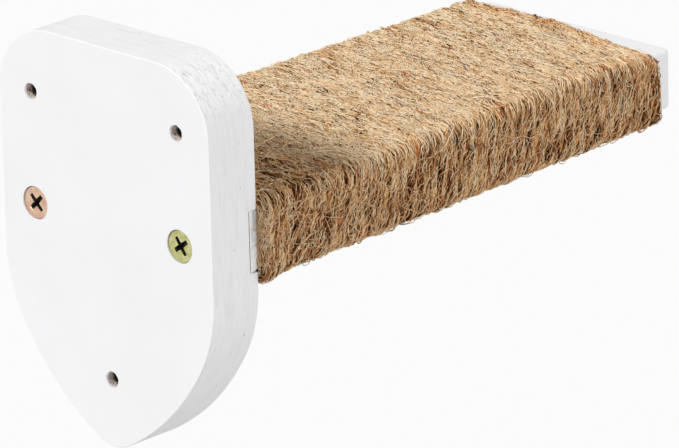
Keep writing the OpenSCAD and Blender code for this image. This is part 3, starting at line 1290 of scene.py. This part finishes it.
    def tail(self, out: float, side: int, along: Array) -> tuple[Array, Array]:
        """A strand's end below the board, drawn thin where the staple holds it.

        Args:
            out: The strand's distance out at the board's edge.
            side: -1 for the left edge, 1 for the right.
            along: Distances from that edge.

        Returns:
            The places, and how far the strand is squeezed there, from 0 to 1.
        """
        squeeze = np.clip(along / (self.squeeze_share * self.tail_len), 0, 1)
        thick = self.core_t * (1 - (1 - self.squeezed_t_share) * squeeze)
        slope = self.pitch / self.run(out)
        height = -self.board.thickness / 2 - self.clear - thick / 2
        across = side * (self.run(out) - along)
        return np.stack([across, -out - side * slope * along, height], axis=-1), squeeze

    def course(self, number: int, rng: Rng) -> Course:
        """Lay one strand round the board.

        Args:
            number: 0 for the first strand, 1 for the second.
            rng: Source of its unevenness.

        Returns:
            The strand's course, in millimetres.
        """
        counts = [self.edge_steps, self.side_steps, self.edge_steps, self.face_steps] * 2
        laps = np.concatenate([k + np.arange(n) / n for k, n in enumerate(counts)])
        start = self.first_out + number * self.pitch
        lap = np.concatenate([laps] * self.turns)
        turn = np.repeat(np.arange(self.turns), len(laps))
        out = start + 2 * self.pitch * (turn + np.clip(lap - BELOW, 0, 1))
        keep = (turn < self.turns - 1) | (lap <= BELOW)
        lap, out = lap[keep], out[keep]
        place, outward = self.spot(lap, out)
        along = self.tail_len * (np.arange(self.tail_steps) + 0.5) / self.tail_steps
        inner, inner_squeeze = self.tail(start, -1, along[::-1])
        outer, outer_squeeze = self.tail(out[-1], 1, along)
        down = np.tile([0.0, 0.0, -1.0], (self.tail_steps, 1))
        squeeze = np.concatenate([inner_squeeze, np.zeros(len(place)), outer_squeeze])
        centre = np.concatenate([inner, place, outer])
        length = np.linalg.norm(np.diff(centre, axis=0, prepend=centre[:1]), axis=1).cumsum()
        width, height = (
            size * (1 + self.uneven * wander(length, wave, rng)) * (1 - (1 - pinched) * squeeze)
            for size, wave, pinched in zip((self.body_w, self.body_t), self.uneven_mm,
                                           (self.squeezed_w_share, self.squeezed_t_share)))
        centre[:, 1] += self.sway * wander(length, self.sway_mm, rng) * (1 - squeeze)
        return Course(centre, np.concatenate([down, outward, down]), width, height)

    def body(self, label: str, course: Course) -> Piece:
        """Sweep a strand's body along its course, with the groove between its two plies.

        Args:
            label: The piece's name.
            course: The strand's course.

        Returns:
            The strand, unfinished.
        """
        turn = 2 * np.pi * (np.arange(self.sides) / self.sides - 0.25)
        twist = 2 * np.pi * course.along / self.lay_mm
        groove = 1 - self.groove_share * (1 - np.abs(np.cos(turn[None] - twist[:, None])))
        aside = course.width[:, None] / 2 * np.cos(turn) * groove
        lift = course.height[:, None] / 2 * np.sin(turn) * groove
        lift = np.maximum(lift, -(self.core_t / 2 + self.clear))
        places = (course.centre[:, None] + aside[..., None] * course.aside[:, None]
                  + lift[..., None] * course.outward[:, None])
        rings = len(places)
        ring, side = np.meshgrid(np.arange(rings - 1), np.arange(self.sides), indexing="ij")
        after = (side + 1) % self.sides
        quads = np.stack([ring * self.sides + side, (ring + 1) * self.sides + side,
                          (ring + 1) * self.sides + after, ring * self.sides + after], axis=-1)
        caps = [list(range(self.sides)), list(range((rings - 1) * self.sides, rings * self.sides))[::-1]]
        rows = math.ceil(rings / self.turns)
        row, column = np.divmod(ring, rows)
        far = np.array([0, 1, 1, 0])
        over = np.array([0, 0, 1, 1])
        u = (column[..., None] + far) / rows
        inner = 1 - 2 * self.map_margin
        v = row[..., None] + self.map_margin + inner * (side[..., None] + over) / self.sides
        v = v / (self.turns + 1)
        # The two end caps lie in the corner of the map that the turns leave free.
        rim = np.stack([0.02 + 0.02 * np.cos(turn), 0.98 + 0.015 * np.sin(turn)], axis=-1)
        cap_map = np.concatenate([rim, rim[::-1] + [0.06, 0]])
        bake = np.concatenate([np.stack([u, v], axis=-1).reshape(-1, 2), cap_map])
        girth = np.pi * (self.body_w + self.body_t) / 2
        u = course.along[ring[..., None] + far]
        v = girth * (side[..., None] + over) / self.sides - girth / self.lay_mm * u
        lay = np.concatenate([np.stack([u, v], axis=-1).reshape(-1, 2), np.zeros((2 * self.sides, 2))])
        # The height that the twine's finish reads, low where it paints shade: towards the board and in
        # the groove between the plies.
        crest = np.broadcast_to(np.sin(turn), groove.shape) - (1 - groove) * 2
        return new_piece(label, places, quads.reshape(-1, 4).tolist() + caps,
                         {"OFBake": bake, "lay": lay * MM}, ("height", crest), self.twine_material)

    def tubes(self, label: str, places: Array, outward: Array, radius: Array,
              tint: Array) -> Piece:
        """Make pointed fibres of three sides along many lines at once.

        Args:
            label: The piece's name.
            places: Points of each fibre in millimetres, as fibres x points x 3.
            outward: A direction across each fibre at each point.
            radius: Each fibre's radius.
            tint: Place on the colour ramp of each point of each fibre.

        Returns:
            The fibres as one piece, unfinished.
        """
        count, points = places.shape[:2]
        rings = points - 2
        ahead = unit(np.gradient(places, axis=1))
        across = unit(np.cross(ahead, outward))
        outward = np.cross(across, ahead)
        turn = 2 * np.pi * np.arange(3) / 3
        taper = np.sqrt(np.sin(np.pi * (np.arange(rings) + 1.2) / (rings + 1.4)))
        girth = radius[:, None, None, None] * taper[None, :, None, None]
        ring = (places[:, 1:-1, None] + girth * (np.cos(turn)[:, None] * outward[:, 1:-1, None]
                                                 + np.sin(turn)[:, None] * across[:, 1:-1, None]))
        spots = np.concatenate([ring.reshape(count, -1, 3), places[:, [0, -1]]], axis=1)
        faces, maps = [], []
        ends = (3 * rings, 3 * rings + 1)
        for j in range(3):
            k = (j + 1) % 3
            faces += [(ends[0], k, j), (ends[1], 3 * rings - 3 + j, 3 * rings - 3 + k)]
            maps += [((0, j + 0.5), (1, j + 1), (1, j)),
                     ((rings + 1, j + 0.5), (rings, j), (rings, j + 1))]
            for i in range(rings - 1):
                a, b, c, d = 3 * i + j, 3 * i + k, 3 * i + 3 + k, 3 * i + 3 + j
                faces += [(a, b, c), (a, c, d)]
                corners = ((i + 1, j), (i + 1, j + 1), (i + 2, j + 1), (i + 2, j))
                maps += [(corners[0], corners[1], corners[2]), (corners[0], corners[2], corners[3])]
        every = np.array(faces)[None] + (np.arange(count) * spots.shape[1])[:, None, None]
        grid = math.ceil(math.sqrt(count))
        cell = np.stack(np.divmod(np.arange(count), grid), axis=-1)
        inside = self.cell_margin + (1 - 2 * self.cell_margin) * np.array(maps, float) / [rings + 1, 3]
        bake = (cell[:, None, None] + inside[None]) / grid
        tints = np.concatenate([np.repeat(tint[:, 1:-1], 3, axis=1), tint[:, [0, -1]]], axis=1)
        return new_piece(label, spots, every.reshape(-1, 3).tolist(), {"OFBake": bake}, ("tint", tints),
                         self.fibre_material)

    def skin(self, round_board: Array,
             lane: Array) -> tuple[Array, Array, Array]:
        """Places on the wound surface, which follow the strands below the board too.

        Args:
            round_board: Distance round the board from the lower left edge, in millimetres.
            lane: Distance out from the wall of the strand that lies there, where it crosses the top;
                past the first or last strand's crest, the distance down its outer flank.

        Returns:
            The places on the strands' own surface, the directions away from it, and its depth below
            the crests.
        """
        whole = np.floor(round_board / self.ends[-1])
        lap = np.interp(round_board - whole * self.ends[-1], self.ends, np.arange(STRETCHES + 1))
        lap = np.minimum(lap, STRETCHES - 1e-9)
        out = lane + 2 * self.pitch * (whole + np.clip(lap - BELOW, 0, 1))
        within = np.clip(out, self.first_out, self.last_out)
        bulge = (self.body_w + self.body_t) / 4
        flank = np.clip((out - within) / bulge, -self.flank_turn, self.flank_turn)
        place, outward = self.spot(lap, within + self.body_w / 2 * np.sin(flank))
        off = np.mod(out - self.first_out + self.pitch / 2, self.pitch) - self.pitch / 2
        relief = self.body_t / 2 * np.sqrt(1 - self.groove_sag * (2 * off / self.pitch) ** 2)
        relief = np.where(flank == 0, relief, self.body_t / 2 * np.cos(flank))
        depth = np.where(flank == 0, self.body_t / 2 - relief, 0.0)
        surface = place + relief[..., None] * outward
        away = np.cos(flank)[..., None] * outward - np.sin(flank)[..., None] * Axis.TO_WALL.value
        return surface, away, depth

    def grow(self, label: str, lot: FibreLot, strand: int | None,
             rng: Rng) -> Piece:
        """Grow one lot of loose fibres on the wound surface.

        Args:
            label: The piece's name.
            lot: The kind of fibre.
            strand: 0 or 1 for the strand that they belong to, or None for both.
            rng: Source of their places.

        Returns:
            The fibres as one piece, unfinished.
        """
        locks, each = lot.locks, lot.per_lock
        count = locks * each
        share = np.linspace(0, 1, lot.points)

        def bunch(values: Array, jitter: float) -> Array:
            """Values of a lock's fibres, round their lock's own, as a column."""
            return (np.repeat(values, each) + rng.normal(0, jitter, count))[:, None]

        lanes = np.arange(2 * self.turns) if strand is None else np.arange(strand, 2 * self.turns, 2)
        outermost = (lanes == 0) | (lanes == 2 * self.turns - 1)
        chance = np.where(outermost, self.rim_crowd, 1.0)
        pool = self.pool_share * locks
        number = rng.choice(lanes, pool, p=chance / chance.sum())
        if lot.home:
            number[:] = lot.home[0]
        off = rng.uniform(-0.5, self.home_off if lot.home else 0.5, pool) * self.pitch
        rim = ((number == 0) & (off < 0)) | ((number == 2 * self.turns - 1) & (off > 0))
        lane = self.first_out + number * self.pitch + np.where(rim, self.rim_crowd, 1.0) * off
        weights = np.diff(self.ends) * self.crowd
        before = np.concatenate([[0.0], np.cumsum(weights)]) / weights.sum()
        around = np.interp(rng.random(pool), before, self.ends)
        if lot.home:
            around = rng.uniform(*self.ends[lot.home[1]:lot.home[1] + 2], pool)
        chance = np.exp(lot.patchy * self.thickets(around, lane))
        kept = rng.choice(pool, locks, replace=False, p=chance / chance.sum())
        lane, around = lane[kept], around[kept]
        length = bunch(np.exp(rng.normal(0, lot.length_spread, locks)), self.length_jitter)
        length = lot.length * np.clip(length, *self.length_limits)
        combed = 1 - self.combed_share * np.clip(self.skin(around, lane)[1][:, 2], 0, 1)
        neat = np.interp(lane, self.neat_out, self.neat_stray)
        stray = self.lay_turn + neat * combed * rng.normal(0, lot.stray, locks)
        heading = rng.choice([0.0, np.pi], locks) + np.radians(stray)
        bend = combed * np.radians(rng.normal(0, lot.bend, locks))
        bend = bunch(bend, np.radians(self.bend_jitter * lot.bend))
        combed = np.repeat(combed, each)[:, None]
        swing = 2 * np.pi * (length * share / lot.curl_mm + rng.random((count, 1)))
        heading = bunch(heading, np.radians(lot.lock_stray)) + bend * (share - 0.5)
        heading = heading + combed * np.radians(lot.curl) * np.sin(swing)
        step = length / (lot.points - 1)
        round_board = bunch(around, lot.lock_width) + np.cumsum(np.cos(heading) * step, axis=1)
        lanes = bunch(lane, lot.lock_width) + np.cumsum(np.sin(heading) * step, axis=1)
        place, outward, depth = self.skin(round_board, lanes)
        middle = lot.points // 2
        trodden_and_lit = np.interp(-place[:, middle, 1:2], TRODDEN_AND_LIT_OUT, TRODDEN_AND_LIT)
        worn_and_lit = np.clip(outward[:, middle, 2:], 0, 1) * trodden_and_lit
        dive = rng.uniform(*lot.dive, count)[:, None] * (1 - self.matted_share * worn_and_lit)
        stand = bunch(rng.normal(0, lot.stand, locks), self.stand_jitter * lot.stand)
        stand = combed * np.abs(stand)
        lift = (1 - dive) * depth + lot.sink + stand * lot.lift.shape(share)
        lift = lift + lot.weave * np.sin(0.7 * swing + 2 * np.pi * rng.random((count, 1)))
        places = place + lift[..., None] * outward
        radius = rng.uniform(*lot.radius, count)
        patch = self.mottle * self.thickets(around + self.ends[-1] / 2, lane)
        patch = patch + self.last_shade * (lane > self.last_out - self.pitch / 2)
        # Painted light: fibres are made paler on the trodden top and darker on the sides, below and near
        # the plate, and more even in tint on that top.
        shade = np.repeat(rng.normal(0, lot.tint[1], locks), each)[:, None] * (1 - self.even_share * worn_and_lit)
        tint = bunch(lot.tint[0] + patch, self.tint_jitter) + shade + lot.top_lit_shift * (2 * worn_and_lit - 1)
        tint = tint[:, 0]
        tint = np.clip(tint, 0.0, np.interp(worn_and_lit[:, 0], (0, 1), self.palest))
        # Painted shade: fibres that dive into the grooves between strands are darkened there, less near
        # the plate and on the trodden top.
        into_groove = (1 - (1 - 2 * depth / self.body_t) ** 2) / self.groove_sag
        groove_shading = self.groove_shade * bunch(np.interp(lane, self.neat_out, self.neat_shade), 0.0)
        groove_shading = groove_shading * (1 - self.groove_worn * worn_and_lit) * dive * into_groove
        rusty = np.repeat(rng.random(locks) < lot.rust, each)
        rust = self.rust_from + (1 - self.rust_from) * rng.random(count) ** 3
        tint = np.where(rusty[:, None], rust[:, None], np.clip(tint[:, None] - groove_shading, 0, 1))
        return self.tubes(label, places, outward, radius, tint)

    def build(self) -> None:
        """Make both strands with their fibres, and the hairs that cross them."""
        rng = np.random.default_rng(self.seed)
        for number, node in enumerate(("first_strand", "second_strand")):
            course = self.course(number, rng)
            LOG.info("%s: %.2f m of twine", node, course.along[-1] * MM)
            settle(self.body(f"{node}_twine", course), "jute", node)
            for lot in self.own_lots:
                settle(self.grow(f"{node}_{lot.name}", lot, number, rng), "jute")
        for lot in self.shared_lots:
            settle(self.grow(lot.name, lot, None, rng), "jute")


def seen_otherwise(add: Adder, lighting: str | tuple[float, ...], seen: str) -> bpy.types.Node:
    """Mix a colour that the lens sees otherwise than it lights the object.

    Args:
        add: add_node for the colour's tree.
        lighting: The colour that lights the object.
        seen: The colour that the lens sees, straight or by way of a shiny or clear piece.

    Returns:
        The node that gives the colour.
    """
    rays = add("LightPath").outputs
    share = rays["Is Camera Ray"]
    for kind in ("Is Glossy Ray", "Is Transmission Ray"):
        share = add("Math", {0: share, 1: rays[kind]}, operation="MAXIMUM")
    return add("Mix", {"Factor": share, "A": lighting, "B": seen}, data_type="RGBA")


@dataclass
class Studio:
    """Camera at the photograph's angle, a pale floor, a key lamp, a fill lamp and an even surround."""

    place: Triple = (-1477.2, 1424.3, 725.1)
    heading: float = 224.24
    dip: float = 19.51
    roll: float = -1.5
    lens: float = 415.4
    sensor: float = 36.0
    sight: float = 100.0
    floor_drop: float = 380.0
    floor_size: float = 16000.0
    surround: float = 0.40
    backdrop: str = "#FBFBFB"
    floor_seen: str = "#FBFBFB"
    floor_lighting: str = "#B4B4B4"
    key_from: Triple = (0.2, 0.75, 0.63)
    key_level: float = 0.775
    key_spread: float = 14.0
    fill_from: Triple = (-0.966, 0.05, 0.25)
    fill_level: float = 0.455
    fill_spread: float = 34.0

    def camera(self) -> None:
        """Set the camera up, with the lens at the fitted place and angle."""
        bpy.ops.object.camera_add()
        camera = bpy.context.object
        turn = (Matrix.Rotation(math.radians(self.heading), 4, "Z")
                @ Matrix.Rotation(math.radians(90 - self.dip), 4, "X")
                @ Matrix.Rotation(math.radians(self.roll), 4, "Z"))
        camera.matrix_world = Matrix.Translation(Vector(self.place) * MM) @ turn
        camera.data.lens = self.lens
        camera.data.sensor_width = self.sensor
        camera.data.clip_end = self.sight
        bpy.context.scene.camera = camera

    def floor(self) -> None:
        """Lay the pale floor, which the lens sees lighter than it lights the object."""
        low = -self.floor_drop * MM
        bpy.ops.mesh.primitive_plane_add(size=self.floor_size * MM, location=(0, 0, low))
        floor = Bench.name("studio_floor")
        material, add, shade = new_material("matt_studio_floor")
        colour = seen_otherwise(add, self.floor_lighting, self.floor_seen)
        shade({"Base Color": colour, "Roughness": 1.0, "Specular IOR Level": 0.0})
        floor.data.materials.append(material)

    def lamp(self, source: Triple, level: float, spread: float) -> None:
        """Hang a lamp that shines evenly on the whole object.

        Args:
            source: Direction from the object to the lamp.
            level: Light on a surface square to it, where 1 shows a colour as written.
            spread: Angle that the lamp fills as seen from the object, in degrees.
        """
        bpy.ops.object.light_add(type="SUN")
        lamp = bpy.context.object
        lamp.rotation_euler = Vector(source).to_track_quat("Z", "Y").to_euler()
        lamp.data.energy = level * math.pi
        lamp.data.angle = math.radians(spread)

    def lamps(self) -> None:
        """Hang both lamps and light the surround."""
        self.lamp(self.key_from, self.key_level, self.key_spread)
        self.lamp(self.fill_from, self.fill_level, self.fill_spread)
        world = bpy.data.worlds.new("studio_surround")
        world.use_nodes = True
        bpy.context.scene.world = world
        tree = world.node_tree
        light = seen_otherwise(partial(add_node, tree), (self.surround,) * 3 + (1,), self.backdrop)
        feed(tree, tree.nodes["Background"], {"Color": light})

    def build(self) -> None:
        """Set the studio up and choose a plain view of the colours."""
        Bench.clear()
        self.camera()
        self.floor()
        self.lamps()
        bpy.context.scene.view_settings.view_transform = "Standard"


def dress_staples() -> None:
    """Give the two staples, whose shape is right, their wire finish."""
    wire = GalvanisedWire().material()
    for node in ("inner_staple", "outer_staple"):
        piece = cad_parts[node]
        piece.data.materials.clear()
        piece.data.materials.append(wire)
        LOG.info("%s: dressed", node)


def main() -> None:
    """Build the pieces in order, set up the studio and note the sizes."""
    logging.basicConfig(level=logging.INFO, format="%(name)s: %(message)s")
    Studio().build()
    WallPlate().build()
    board = StepBoard()
    board.build()
    for screw in (
            JointScrew("left_screw", "yellow_zinc", SCREW_PLACES[0], 54.0, PlatedSteel(
                "yellow_passivated_zinc", ((0.36, "#B5B36A"), (0.64, "#D0CEA2")))),
            JointScrew("right_screw", "rosy_zinc", SCREW_PLACES[1], 45.0, PlatedSteel(
                "rosy_passivated_zinc", ((0.36, "#D2A290"), (0.64, "#DCC4A8"))))):
        screw.build()
    Winding(board).build()
    dress_staples()


if __name__ == "__main__":
    main()
